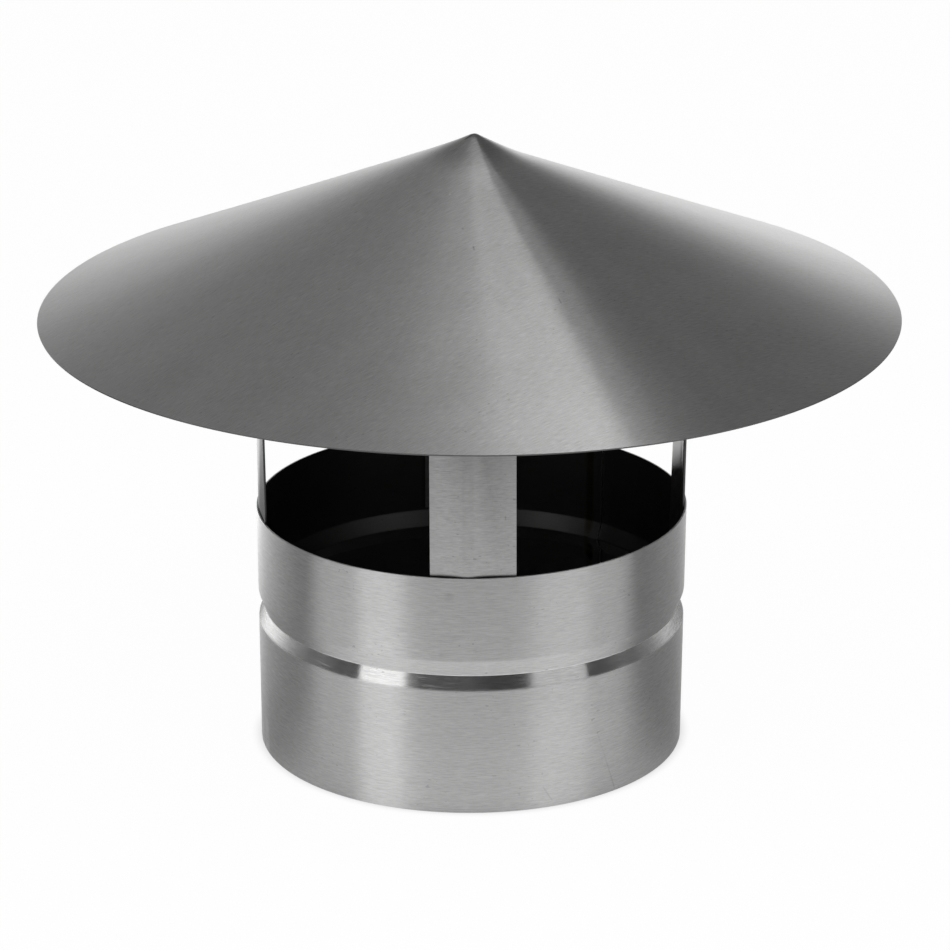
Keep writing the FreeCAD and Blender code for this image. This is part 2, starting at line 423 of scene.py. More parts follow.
@dataclass(frozen=True)
class BrushedSteel:
    """Brushed stainless sheet, described by its polish and by the strokes of the brush.

    Fine strokes are so many times as long and as wide as the main ones. The light, dark and rough shares
    say how far a trait moves the grey or the roughness, and the tints what warmth takes from green and blue.
    """

    name: str
    grain: Grain
    grey: float = 0.6
    roughness: float = 0.3
    anisotropy: float = 0.0
    stroke_length: float = 4.5 * MILLIMETRE
    stroke_width: float = 0.34 * MILLIMETRE
    stroke_contrast: float = 0.55
    patchiness: float = 0.2
    groove_depth: float = 0.003 * MILLIMETRE
    grain_angle: float = 0.0
    grain_steps: int = 12
    scratches: float = 0.6
    specks: float = 0.5
    burnished: tuple[float, float] | None = None
    burnish: float = 0.0
    marks: tuple[Mark, ...] = ()
    fine_length: float = 3.0
    fine_width: float = 0.4
    fine_contrast: float = 0.6
    patch_size: tuple[float, float] = (60 * MILLIMETRE, 25 * MILLIMETRE)
    scratch_light: float = 0.18
    speck_dark: float = 0.45
    stroke_rough: float = 0.08
    patch_rough: float = 0.04
    scratch_rough: float = 0.1
    fine_depth: float = 0.7
    speck_depth: float = 3.0
    blue: float = 0.995
    green_tint: float = 0.12
    blue_tint: float = 0.35

    def material(self) -> bpy.types.Material:
        """Builds the finish.

        Returns:
            A node material.
        """
        material = bpy.data.materials.new(self.name)
        material.use_nodes = True
        graph = Graph(material.node_tree)
        plane = self._stroke_plane(graph)
        strokes = plane.streaks(self.stroke_length, self.stroke_width, 3.0)
        fine = plane.streaks(self.stroke_length * self.fine_length, self.stroke_width * self.fine_width, 2.0)
        patches = plane.streaks(*self.patch_size, 2.0)
        scratch = plane.hairlines() * self.scratches
        speck = plane.pits() * self.specks
        fine_contrast = self.stroke_contrast * self.fine_contrast
        tone = (strokes - 0.5) * self.stroke_contrast + (fine - 0.5) * fine_contrast
        tone = tone + (patches - 0.5) * self.patchiness + scratch * self.scratch_light + 1.0
        marked, warmth = self._marked(graph)
        grey = (tone + marked) * self.grey * (1.0 - speck * self.speck_dark)
        green = grey * (1.0 - warmth * self.green_tint)
        blue = grey * (self.blue - warmth * self.blue_tint)
        colour = graph.node("ShaderNodeCombineColor", None, {0: grey, 1: green, 2: blue}).outputs[0]
        roughness = (strokes - 0.5) * self.stroke_rough + (patches - 0.5) * self.patch_rough
        roughness = roughness + scratch * self.scratch_rough + self.roughness
        if self.burnished:
            roughness = roughness - self._burnished_band(graph) * self.burnish
        height = strokes + fine * self.fine_depth - speck * self.speck_depth
        bump_inputs = {"Strength": 1.0, "Distance": self.groove_depth, "Height": height}
        bump = graph.node("ShaderNodeBump", None, bump_inputs).outputs[0]
        inputs = {"Base Color": colour, "Metallic": 1.0, "Roughness": roughness, "Normal": bump}
        inputs["Anisotropic"] = self.anisotropy
        if self.grain is Grain.ROLLED:
            surface = self._turning_gloss(graph, inputs)
        else:
            surface = self._gloss(graph, inputs, LEVEL_GRAIN_ROTATION)
        graph.node("ShaderNodeOutputMaterial", None, {"Surface": surface})
        return material

    def _marked(self, graph: Graph) -> tuple["Number", "Number"]:
        """Sums of the marks' tones and of their warmth.

        Args:
            graph: The material's graph.

        Returns:
            The two sums; each is a plain zero where no mark adds to it.
        """
        place = graph.split(graph.node("ShaderNodeTexCoord").outputs["Object"])
        tone, warmth = 0.0, 0.0
        for mark in self.marks:
            cover = mark.cover(graph, place)
            tone = cover * mark.tone + tone
            if mark.warmth:
                warmth = cover * mark.warmth + warmth
        return tone, warmth

    def _gloss(self, graph: Graph, inputs: dict[str, Any], rotation: float) -> Socket:
        """Gloss spread in one direction, a share of a turn from the level line round the axis."""
        turned = {**inputs, "Anisotropic Rotation": rotation}
        return graph.node("ShaderNodeBsdfPrincipled", None, turned).outputs[0]

    def _turning_gloss(self, graph: Graph, inputs: dict[str, Any]) -> Socket:
        """Gloss spread square to strokes that lie straight on the blank, so they turn as one goes round.

        Args:
            graph: The material's graph.
            inputs: Values that all directions share.

        Returns:
            The socket of a chain of glosses, each mixed into the next by direction.
        """
        x, y, _ = graph.split(graph.node("ShaderNodeTexCoord").outputs["UV"])
        swing = graph.math("ARCTAN2", x, y * -1.0)
        spread = (self.grain_angle + math.pi / 2 - swing) / math.pi
        step = graph.math("FRACT", spread) * self.grain_steps
        steps = self.grain_steps
        glosses = [self._gloss(graph, inputs, index / steps / 2) for index in range(steps)]
        surface = glosses[0]
        for index, gloss in enumerate(glosses[1:] + glosses[:1]):
            share = graph.node("ShaderNodeClamp", None, {"Value": step - index}).outputs[0]
            surface = graph.node("ShaderNodeMixShader", None, {0: share, 1: surface, 2: gloss}).outputs[0]
        return surface

    def _burnished_band(self, graph: Graph) -> Value:
        """The band of heights that a forming roll polished.

        Args:
            graph: The material's graph.

        Returns:
            One on the band, zero off it.
        """
        _, _, z = graph.split(graph.node("ShaderNodeTexCoord").outputs["Object"])
        low, high = self.burnished
        rise = graph.smooth_step(z, low - MILLIMETRE / 2, low + MILLIMETRE)
        return rise * (1.0 - graph.smooth_step(z, high, high + MILLIMETRE / 3))

    def _stroke_plane(self, graph: Graph) -> "StrokePlane":
        """The plane of the strokes: the blank, or level lines round the axis.

        Args:
            graph: The material's graph.

        Returns:
            The plane with its coordinates.
        """
        coordinates = graph.node("ShaderNodeTexCoord")
        if self.grain is Grain.ROLLED:
            turn = {"Vector": coordinates.outputs["UV"], "Rotation": (0.0, 0.0, -self.grain_angle)}
            turned = graph.node("ShaderNodeMapping", {"vector_type": "POINT"}, turn)
            along, across, _ = graph.split(turned.outputs[0])
            return StrokePlane(graph, (along,), across)
        x, y, z = graph.split(coordinates.outputs["Object"])
        return StrokePlane(graph, (x, y), z)


def inner_face(name: str, grey: float, roughness: float, marks: tuple[Mark, ...]) -> BrushedSteel:
    """The plainer finish of a sheet's inner side; its low grey is painted shade in the hollow."""
    return BrushedSteel(name, Grain.LEVEL, grey, roughness, stroke_contrast=0.3, scratches=0.1, marks=marks)


def cut_edge(name: str, grey: float, roughness: float) -> BrushedSteel:
    """The finish of a sheet's sheared edges. The hood's and the straps' near-black greys are painted shade.
    """
    return BrushedSteel(name, Grain.LEVEL, grey, roughness, scratches=0.0)


def ride_root(piece: Object, slot: str, *nodes: str) -> None:
    """Fixes a piece to the only body, hides the nodes it stands for and logs it with its slot.

    Args:
        piece: The finished piece.
        slot: The record's material slot.
        nodes: The nodes that it stands for, if any.
    """
    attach(piece, "root")
    if nodes:
        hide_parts(*nodes)
    LOG.info("piece %s: %d faces, slot %s", piece.name, len(piece.data.polygons), slot)


def thicken(piece: Object, inside: BrushedSteel, edge: BrushedSteel) -> None:
    """Gives a surface its sheet thickness, inwards, and slightly rounds the cut edges.

    Args:
        piece: A surface whose faces point outwards.
        inside: The finish of the sheet's inner face.
        edge: The finish of its cut edges.
    """
    solidify = piece.modifiers.new("sheet", "SOLIDIFY")
    solidify.thickness = SHEET
    solidify.offset = -1.0
    solidify.use_even_offset = True
    solidify.material_offset = 1
    solidify.material_offset_rim = 2
    piece.data.materials.append(inside.material())
    piece.data.materials.append(edge.material())
    soften(piece)


def soften(piece: Object) -> None:
    """Rounds a piece's sharp edges and keeps its faces smooth.

    Args:
        piece: The piece.
    """
    bevel = piece.modifiers.new("edges", "BEVEL")
    bevel.width = CUT_EDGE_ROUNDING
    bevel.segments = 2
    bevel.limit_method = "ANGLE"
    bevel.angle_limit = SHARP_ANGLE
    bevel.harden_normals = True


SEAM_WELD = (
    Mark((44.1, 61.5, 88.0), (44.1, 61.5, 44.0), reach=2.4, tone=-0.45, warmth=0.8),
    Mark((44.1, 61.5, 44.0), (44.1, 61.5, 0.0), reach=2.0, tone=-0.3, warmth=0.5),
    Mark((44.7, 61.0, 47.2), reach=2.0, tone=-0.5),
    Mark((44.7, 61.0, 42.9), reach=1.8, tone=-0.5),
)
WALL_RADIUS_IN_MM = 75.8
CREASE_AZIMUTHS = (0.0, 94.2, 180.0, 274.2)
WELDS_BY_CREASE = ((-5.6, 81.2, 2.6, -0.13), (-7.8, 59.6, 1.5, -0.1), (1.1, 61.0, 1.5, -0.1))


def strap_weld(azimuth: float, height: float, reach: float, tone: float) -> Mark:
    """A weld spot on the collar's wall; its azimuth is in degrees and its lengths in millimetres."""
    return Mark(round_about(azimuth, WALL_RADIUS_IN_MM, height), reach=reach, tone=tone)


STRAP_WELDS = tuple(
    strap_weld(crease + turn, height, reach, tone)
    for crease in CREASE_AZIMUTHS
    for turn, height, reach, tone in WELDS_BY_CREASE
)
COLLAR_MARKS = STRAP_WELDS + (
    Mark((38.3, -65.4, 44.2), reach=0.5, tone=-0.4),
    Mark((39.4, -64.8, 43.6), reach=0.4, tone=-0.4),
    Mark((40.4, -64.1, 43.1), reach=0.6, tone=-0.45),
    Mark((-73.1, -20.0, 10.2), (-72.9, -20.7, 1.5), reach=4.0, tone=0.18),
    Mark((44.1, -61.7, 24.1), (50.4, -56.6, 1.0), reach=0.45, tone=-0.16),
    Mark((25.1, -71.5, 7.9), (28.2, -70.4, 2.4), reach=0.4, tone=-0.14),
)


@dataclass
class Collar:
    """The beaded collar: one sheet rolled to a ring, its ends lapped at a seam."""

    bore_radius: float
    height: float
    foot: float = BEAD_FOOT
    crest: float = BEAD_CREST
    bead_top: float = 57.0 * MILLIMETRE
    bead_depth: float = 2.2 * MILLIMETRE
    foot_radius: float = 2.2 * MILLIMETRE
    crest_radius: float = 0.35 * MILLIMETRE
    shoulder_radius: float = 3.0 * MILLIMETRE
    flare: float = 0.9 * MILLIMETRE
    lean: float = 0.5 * MILLIMETRE
    seam_azimuth: float = math.radians(140.7)
    lap: float = math.radians(8.0)
    joggle: float = math.radians(9.0)
    columns: int = 369
    corner_points: int = 7
    finish: BrushedSteel = BrushedSteel(
        "collar_brushed",
        Grain.LEVEL,
        grey=0.7,
        stroke_length=3.4 * MILLIMETRE,
        stroke_width=0.26 * MILLIMETRE,
        stroke_contrast=0.75,
        roughness=0.38,
        anisotropy=1.0,
        burnished=(BEAD_FOOT, BEAD_CREST),
        burnish=0.2,
        marks=COLLAR_MARKS + SEAM_WELD,
    )
    # Painted shade: the inner face's grey of 0.1, far below the outer face's 0.7, darkens the collar's
    # hollow.
    inside: BrushedSteel = inner_face("collar_inside_painted_shade", 0.1, 0.4, SEAM_WELD)
    edge: BrushedSteel = cut_edge("collar_cut", 0.55, 0.45)

    def build(self) -> Object:
        """Forms the ring from a blank whose rows follow the beaded section.

        Returns:
            The ring's outer face.
        """
        own = named_sizes(self, "height", "foot", "crest", "bead_top", "bead_depth", "flare", "lean")
        seam = named_sizes(self, "seam_azimuth", "lap", "joggle", "columns", "corner_points")
        wall = {"Wall radius": self.bore_radius + SHEET, "Sheet": SHEET}
        rule = SheetRule("collar_rule", {**wall, **own, **seam})
        section = self._section(rule)
        blank = self._blank(rule, section)
        return rule.make(blank, "collar_sheet", self.finish.material())

    def _section(self, rule: SheetRule) -> Socket:
        """The beaded section, its folds rounded.

        Args:
            rule: The collar's rule.

        Returns:
            A curve with radius as X and height as Y.
        """
        wall = rule.size("Wall radius")
        corners = [
            rule.vector(wall, 0.0),
            rule.vector(wall, rule.size("Foot")),
            rule.vector(wall - rule.size("Bead depth"), rule.size("Crest")),
            rule.vector(wall, rule.size("Bead top")),
            rule.vector(wall, rule.size("Height")),
        ]
        line = rule.node("GeometryNodeMeshLine", None, {"Count": len(corners)}).outputs[0]
        line = rule.place(line, rule.pick("VECTOR", rule.index(), corners))
        curve = rule.node("GeometryNodeMeshToCurve", None, {"Mesh": line}).outputs[0]
        radii = [0.0, self.foot_radius, self.crest_radius, self.shoulder_radius, 0.0]
        inputs = {
            "Curve": curve,
            "Count": rule.size("Corner points"),
            "Radius": rule.pick("FLOAT", rule.index(), radii),
            "Limit Radius": True,
        }
        return rule.node("GeometryNodeFilletCurve", {"mode": "POLY"}, inputs).outputs[0]

    def _blank(self, rule: SheetRule, section: Socket) -> Socket:
        """The flat blank, rolled up: its columns go round and its rows climb the section.

        Args:
            rule: The collar's rule.
            section: The beaded section.

        Returns:
            The ring's outer face.
        """
        size = rule.node("GeometryNodeAttributeDomainSize", {"component": "CURVE"}, {0: section})
        rows = size.outputs["Point Count"]
        grid, x, y = rule.unit_grid(rows)
        row = rule.math("ROUND", (y + 0.5) * (Value(rule, rows) - 1.0))
        turn = (x + 0.5) * (rule.size("Lap") + math.tau)
        level = rule.smooth_step(turn, math.tau - rule.size("Joggle"), math.tau)
        along_section = rule.node("GeometryNodeSplineParameter").outputs["Length"]
        sampled = []
        for kind, field in (("FLOAT_VECTOR", rule.position()), ("FLOAT", along_section)):
            settings = {"data_type": kind, "domain": "POINT"}
            inputs = {"Geometry": section, "Value": field, "Index": row}
            sampled.append(rule.node("GeometryNodeSampleIndex", settings, inputs).outputs[0])
        spot, climb = sampled
        radius, height, _ = rule.split(spot)
        mapped = rule.store_map(grid, rule.vector(turn * rule.size("Wall radius"), Value(rule, climb)))
        azimuth = turn + rule.size("Seam azimuth")
        climbed = height / rule.size("Height")
        radius = radius + level * rule.size("Sheet") + climbed * rule.size("Flare")
        east, south = rule.ring_point(azimuth, radius)
        return rule.place(mapped, rule.vector(east + climbed * rule.size("Lean"), south, height))

    def dress(self, piece: Object) -> None:
        """Gives the ring its sheet thickness and fixes it to the body."""
        thicken(piece, self.inside, self.edge)
        ride_root(piece, "collar_sheet", "collar")


HOOD_WELD = (Mark((46.2, 144.5, 159.3), (5.0, 24.4, 213.0), reach=2.2, tone=-0.22, warmth=0.35, pitch=20.0),)
HOOD_MARKS_AND_TIP_SHADE = HOOD_WELD + (
    Mark((1.4, -54.5, 200.2), (1.6, -56.0, 199.6), reach=0.45, tone=-0.3),
    Mark((-2.2, -45.8, 203.6), reach=0.6, tone=-0.35),
    Mark((-20.2, -78.2, 189.0), reach=0.6, tone=-0.35),
    Mark((-1.9, -77.8, 190.1), reach=0.5, tone=-0.3),
    Mark((-6.5, -28.4, 210.6), reach=0.55, tone=0.35),
    Mark((0.9, -3.4, 221.9), (1.0, -5.6, 220.8), reach=0.4, tone=-0.35),
    Mark((31.7, -72.2, 189.7), reach=0.5, tone=-0.3),
    Mark((30.0, -76.2, 188.4), (30.7, -78.0, 187.6), reach=0.4, tone=-0.3),
    Mark((-1.3, -1.9, 222.6), (1.2, -0.8, 223.9), reach=0.5, tone=-0.3),
    # Painted shade: a broad darkening, 19 mm in reach, round the hood's tip.
    Mark((0.0, -3.0, 222.0), reach=19.0, tone=-0.36),
)


@dataclass
class Hood:
    """The hood: one disc of sheet rolled to a shallow cone, its ends lapped at the rear."""

    radius: float
    top: float
    rise: float = 64.9 * MILLIMETRE
    tip_reach: float = 25.0 * MILLIMETRE
    tip_shift: float = 1.8 * MILLIMETRE
    tip_lift: float = 0.12 * MILLIMETRE
    tip_radius: float = 1.1 * MILLIMETRE
    rise_at_rim: float = 1.5 * MILLIMETRE
    rise_azimuth: float = math.radians(-27.0)
    rise_reach: float = math.radians(80.0)
    seam_azimuth: float = math.radians(160.0)
    lap_width: float = 12.0 * MILLIMETRE
    joggle_width: float = 4.0 * MILLIMETRE
    lap_fade: float = 26.0 * MILLIMETRE
    columns: int = 361
    rows: int = 33
    sag: float = 1.0 * MILLIMETRE
    sag_start: float = 6.0 * MILLIMETRE
    top_clearance: float = 0.01 * MILLIMETRE
    crowding: float = 1.7
    finish: BrushedSteel = BrushedSteel(
        "hood_brushed_and_tip_shade",
        Grain.ROLLED,
        stroke_length=3.8 * MILLIMETRE,
        stroke_width=0.26 * MILLIMETRE,
        stroke_contrast=0.85,
        roughness=0.3,
        anisotropy=1.0,
        grain_angle=math.radians(34.0),
        marks=HOOD_MARKS_AND_TIP_SHADE,
    )
    # Painted shade: the inner face's grey of 0.25, below the outer face's 0.6, darkens the hood's underside.
    inside: BrushedSteel = inner_face("hood_inside_painted_shade", 0.25, 0.25, HOOD_WELD)
    # Painted shade: the hood's sheared rim, which faces down, is given a near-black grey of 0.13.
    edge: BrushedSteel = cut_edge("hood_cut_painted_shade", 0.13, 0.45)

    @property
    def slope(self) -> float:
        """Angle of the cone's side above level."""
        return math.atan2(self.rise, self.radius)

    def build(self) -> Object:
        """Forms the cone from a blank of rays and of rings that crowd towards the tip.

        Returns:
            The cone's outer face.
        """
        own = named_sizes(self, "radius", "slope", "sag", "sag_start", "columns", "rows")
        tip = named_sizes(self, "tip_reach", "tip_shift", "tip_lift", "tip_radius")
        rim = named_sizes(self, "rise_at_rim", "rise_azimuth", "rise_reach")
        seam = named_sizes(self, "seam_azimuth", "lap_width", "joggle_width", "lap_fade")
        apex = {"Apex height": self.top - self.tip_lift - self.top_clearance, "Sheet": SHEET}
        rule = SheetRule("hood_rule", {**apex, **own, **tip, **rim, **seam})
        grid, x, y = rule.unit_grid(rule.size("Rows"))
        share = (0.5 - y) ** self.crowding
        radius = share * rule.size("Radius")
        wide = rule.math("MAXIMUM", radius, rule.size("Tip reach"))
        turn = (x + 0.5) * (rule.size("Lap width") / wide + math.tau)
        start = math.tau - rule.size("Joggle width") / wide
        settled = rule.smooth_step(radius, rule.size("Tip radius"), rule.size("Lap fade"))
        level = rule.smooth_step(turn, start, math.tau) * settled
        azimuth = turn + rule.size("Seam azimuth")
        spot = self._cone_point(rule, azimuth, radius, level)
        steep = rule.math("COSINE", rule.size("Slope"))
        slant = radius / steep
        swing = (azimuth - math.tau) * steep
        flat = rule.vector(rule.math("SINE", swing) * slant, rule.math("COSINE", swing) * slant * -1.0)
        mapped = rule.store_map(grid, flat)
        piece = rule.make(rule.place(mapped, spot), "hood_sheet", self.finish.material())
        weld_tip(piece)
        return piece

    def _cone_point(self, rule: SheetRule, azimuth: Value, radius: Value, level: Value) -> Socket:
        """Place of a point of the hood's outer face.

        Args:
            rule: The hood's rule.
            azimuth: The point's azimuth, plus a full turn.
            radius: Its distance from the axis.
            level: How many sheet thicknesses it is raised.

        Returns:
            Its coordinates.
        """
        slope = rule.size("Slope")
        lift = level * rule.size("Sheet")
        pinch = 1.0 - rule.smooth_step(radius, 0.0, rule.size("Tip reach"))
        flat_top = rule.math("MAXIMUM", radius, rule.size("Tip radius"))
        fall = rule.math("TANGENT", slope)
        height = rule.size("Apex height") - flat_top * fall + pinch * rule.size("Tip lift")
        height = height + rule.size("Tip radius") * fall * pinch
        aside = azimuth - rule.size("Rise azimuth") - math.tau
        rise = 1.0 - rule.smooth_step(rule.math("ABSOLUTE", aside), 0.0, rule.size("Rise reach"))
        out = radius / rule.size("Radius")
        height = height + rise * rule.size("Rise at rim") * out
        onset = 1.0 - rule.math("EXPONENT", radius * -1.0 / rule.size("Sag start"))
        height = height - rule.size("Sag") * onset * (1.0 - out * out)
        reach = radius + lift * rule.math("SINE", slope)
        east, south = rule.ring_point(azimuth, reach)
        height = height + lift * rule.math("COSINE", slope)
        return rule.vector(east + pinch * rule.size("Tip shift"), south, height)

    def sag_at(self, radius: float) -> float:
        """How far the sheet hangs below the straight cone."""
        onset = 1.0 - math.exp(-radius / self.sag_start)
        return self.sag * onset * (1.0 - (radius / self.radius) ** 2)

    def dress(self, piece: Object) -> None:
        """Gives the cone its sheet thickness and fixes it to the body."""
        thicken(piece, self.inside, self.edge)
        ride_root(piece, "hood_sheet", "hood")


def weld_tip(piece: Object) -> None:
    """Merges the points that meet at the tip.

    Args:
        piece: The hood's outer face.
    """
    mesh = bmesh.new()
    mesh.from_mesh(piece.data)
    bmesh.ops.remove_doubles(mesh, verts=mesh.verts, dist=TIP_MERGE)
    mesh.to_mesh(piece.data)
    mesh.free()


# Painted shade: two darker strips down the front strap, along the left side of its crease.
STRAP_CREASE_SHADE = (
    Mark((-5.4, -72.5, 150.0), (-5.6, -72.5, 60.0), reach=0.9, tone=-0.1),
    Mark((-1.8, -73.3, 150.0), (-1.9, -73.3, 60.0), reach=1.6, tone=-0.12),
)


@dataclass
class Strap:
    """A strap leg, creased lengthwise and bent to a tab under the hood.

    Heights on it are shares of its length from the collar's mouth to its bend under the hood.
    """

    node: str
    hood: Hood
    push_at_mouth: float = 0.9 * MILLIMETRE
    push_at_hood: float = 1.3 * MILLIMETRE
    twist: float = 0.0
    opened: float = 0.0
    mouth: float = 88.0 * MILLIMETRE
    bend: float = 190.0 * MILLIMETRE
    hood_slope: float = 0.4278
    lowest_share: float = -0.5
    opening_rise: float = 8.0
    opening_fall: float = 3.0
    opening_end: float = 1.15
    side_facing: float = 0.9
    finish: BrushedSteel = BrushedSteel(
        "strap_mill_and_crease_shade",
        Grain.LEVEL,
        grey=0.36,
        roughness=0.3,
        stroke_length=2.4 * MILLIMETRE,
        stroke_contrast=0.7,
        patchiness=0.4,
        scratches=0.15,
        marks=STRAP_CREASE_SHADE,
    )
    # Painted shade: the straps' sheared sides are given a near-black grey of 0.12.
    edge: BrushedSteel = cut_edge("strap_cut_painted_shade", 0.12, 0.5)

    def build(self) -> Object:
        """Copies the frame's node as one merged mesh and sets it as the photograph shows it.

        Returns:
            The strap with its two finishes.
        """
        mesh = bmesh.new()
        mesh.from_mesh(frame["nodes"][self.node].data)
        bmesh.ops.remove_doubles(mesh, verts=mesh.verts, dist=STRAP_MERGE)
        self._mark_cut_edges(mesh)
        self._set_askew(mesh)
        data = bpy.data.meshes.new(self.node + "_strap")
        mesh.to_mesh(data)
        mesh.free()
        for finish in (self.finish, self.edge):
            data.materials.append(bpy.data.materials.get(finish.name) or finish.material())
        data.shade_smooth()
        return add_object(self.node + "_strap", data)

    def _outward(self) -> Vector:
        """Finds the side of the flue on which the strap stands.

        Returns:
            The level axis that points from the flue's axis to the strap.
        """
        low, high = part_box(self.node)
        middle = (low + high) / 2
        if abs(middle.x) > abs(middle.y):
            return Vector((middle.x, 0.0, 0.0)).normalized()
        return Vector((0.0, middle.y, 0.0)).normalized()

    def _mark_cut_edges(self, mesh: bmesh.types.BMesh) -> None:
        """Gives the strap's long sheared sides their own finish.

        Args:
            mesh: The strap's mesh, before it is set askew.
        """
        outward = self._outward()
        mesh.normal_update()
        for face in mesh.faces:
            sideways = face.normal.x * outward.y - face.normal.y * outward.x
            face.material_index = int(abs(sideways) > self.side_facing)

    def _set_askew(self, mesh: bmesh.types.BMesh) -> None:
        """Twists the strap on its crease, opens its fold and pushes it out, its tab still under the hood.

        Args:
            mesh: The strap's mesh, as the frame has it.
        """
        outward = self._outward()
        across = Vector((-outward.y, outward.x, 0.0))
        crease = outward * max(vertex.co.dot(outward) for vertex in mesh.verts)
        bmesh.ops.rotate(mesh, verts=mesh.verts, cent=crease, matrix=Matrix.Rotation(self.twist, 3, "Z"))
        for vertex in mesh.verts:
            share = (vertex.co.z - self.mouth) / (self.bend - self.mouth)
            pushed = min(max(share, self.lowest_share), 1.0)
            push = self.push_at_mouth + (self.push_at_hood - self.push_at_mouth) * pushed
            closing = self.opening_fall * (self.opening_end - share)
            opening = min(max(self.opening_rise * share, 0.0), max(closing, 0.0), 1.0)
            push += self.opened * abs(vertex.co.dot(across)) * opening
            drop = self.hood.sag_at(vertex.co.xy.length) + push * self.hood_slope
            vertex.co += outward * push
            vertex.co.z -= drop * min(max(share, 0.0), 1.0)

    def dress(self, piece: Object) -> None:
        """Rounds the strap's cut edges and fixes it to the body."""
        soften(piece)
        ride_root(piece, "strap_sheet", self.node)


@dataclass
class Softbox:
    """A rectangular studio lamp that faces a target."""

    name: str
    place: tuple[float, float, float]
    width: float
    tall: float
    radiance: float
    target: tuple[float, float, float] = (0.0, 0.0, 0.1)
    upright: tuple[float, float, float] = (0.0, 0.0, 1.0)
    on_gloss: bool = True

    def hang(self) -> None:
        """Adds the lamp with the power that gives its face the stated radiance."""
        data = bpy.data.lights.new(self.name, "AREA")
        data.shape = "RECTANGLE"
        data.size = self.width
        data.size_y = self.tall
        data.energy = self.radiance * math.pi * self.width * self.tall
        lamp = add_object(self.name, data)
        back = (Vector(self.place) - Vector(self.target)).normalized()
        side = Vector(self.upright).cross(back).normalized()
        turn = Matrix((side, back.cross(side), back)).transposed().to_4x4()
        lamp.matrix_world = Matrix.Translation(self.place) @ turn
        lamp.visible_glossy = self.on_gloss


def top_box(
    height: float = 0.9,
    over_hood: float = 0.7,
    turn: float = 24.9,
    edges: tuple[float, float] = (-0.12, 0.512),
    reach: tuple[float, float] = (-0.9, 0.05),
    radiance: float = 2.55,
    falloff: float = 1.9,
    strips: int = 7,
) -> list[Softbox]:
    """The box overhead, whose light falls off from its right edge to its left one.

    Args:
        height: Its height above the table.
        over_hood: Its height above the hood's middle.
        turn: How far it is turned to the left, in degrees.
        edges: Its left and right edge, as shares of its height above the hood.
        reach: Its front and back edge, likewise.
        radiance: The brightness at its right edge.
        falloff: The power of the distance from its left edge by which the light rises.
        strips: How many strips of one width it is made of.

    Returns:
        The strips, from left to right.
    """
    spin = math.radians(turn)
    across = Vector((math.cos(spin), math.sin(spin), 0.0))
    along = Vector((-math.sin(spin), math.cos(spin), 0.0))
    width = (edges[1] - edges[0]) / strips * over_hood
    tall = (reach[1] - reach[0]) * over_hood
    centre = along * (sum(reach) / 2 * over_hood)
    boxes = []
    for index in range(strips):
        middle = across * (edges[0] * over_hood + (index + 0.5) * width) + centre
        place = (middle.x, middle.y, height)
        name = "top_box_%d" % index
        glow = radiance * ((index + 0.5) / (strips - 0.5)) ** falloff
        boxes.append(Softbox(name, place, width, tall, glow, (middle.x, middle.y, 0.0), tuple(along)))
    return boxes


@dataclass(frozen=True)
class TableGlow:
    """How bright the table looks in gloss. A span is where a glow sets in or ends, in metres."""

    level: float = 0.25
    front: float = 0.75
    front_near: tuple[float, float] = (-0.1, 0.0)
    front_far: tuple[float, float] = (0.1, 0.65)
    behind: float = 1.3
    behind_from: tuple[float, float] = (0.18, 0.33)
    left_from: tuple[float, float] = (0.2, 0.24)
    right_until: tuple[float, float] = (0.45, 0.58)
    sides: tuple[float, float] = (0.05, 0.1)

    def strength(self, graph: Graph, x: Value, y: Value) -> Value:
        """The glow at one place.

        Args:
            graph: The table's material.
            x: How far the place is to the right.
            y: How far it is behind the object's axis.

        Returns:
            The glow, as a share of white.
        """
        near = graph.smooth_step(y, *self.front_near)
        far = graph.smooth_step(y * -1.0, *self.front_far)
        behind = graph.smooth_step(y, *self.behind_from)
        dark_right = graph.smooth_step(x, *self.sides) * (1.0 - graph.smooth_step(y, *self.right_until))
        near_left = graph.smooth_step(x * -1.0, *self.sides) * graph.smooth_step(y, *self.left_from)
        behind = behind * (1.0 - dark_right) + near_left * (1.0 - behind)
        return (1.0 - near) * (1.0 - far) * self.front + behind * self.behind + self.level


@dataclass(frozen=True)
class RoomGlow:
    """How bright the room looks in gloss. A span is of a direction's part to the east, to the north or up."""

    level: float = 0.03
    backdrop: float = 1.15
    backdrop_west: float = 0.4
    backdrop_north: tuple[float, float] = (0.7, 0.93)
    backdrop_up: tuple[float, float] = (0.0, 0.4)
    horizon: float = 0.6
    horizon_west: float = 0.7
    horizon_north: tuple[float, float] = (0.3, 0.95)
    horizon_up: tuple[float, float] = (-0.05, 0.2)
    rear: float = 0.14
    rear_north: tuple[float, float] = (-0.3, 0.3)
    wall: float = 0.08
    wall_up: tuple[float, float] = (0.2, 0.5)
    east: tuple[float, float] = (-0.05, 0.2)

    def strength(self, graph: Graph) -> Value:
        """The glow in one direction.

        Args:
            graph: The world's tree.

        Returns:
            The glow, as a share of white.
        """
        east, north, up = graph.split(graph.node("ShaderNodeTexCoord").outputs["Generated"])
        west = 1.0 - graph.smooth_step(east, *self.east)
        low = 1.0 - graph.smooth_step(up, *self.backdrop_up)
        lowest = 1.0 - graph.smooth_step(up, *self.horizon_up)
        backdrop = graph.smooth_step(north, *self.backdrop_north) * low
        horizon = graph.smooth_step(north, *self.horizon_north) * lowest
        lit = backdrop * (west * self.backdrop_west + self.backdrop)
        lit = lit + horizon * (west * self.horizon_west + self.horizon)
        wall = west * graph.smooth_step(up, *self.wall_up)
        return lit + graph.smooth_step(north, *self.rear_north) * self.rear + wall * self.wall + self.level


FOCAL_LENGTH_IN_PIXELS = 4929.41
PHOTO_WIDTH_IN_PIXELS = 950


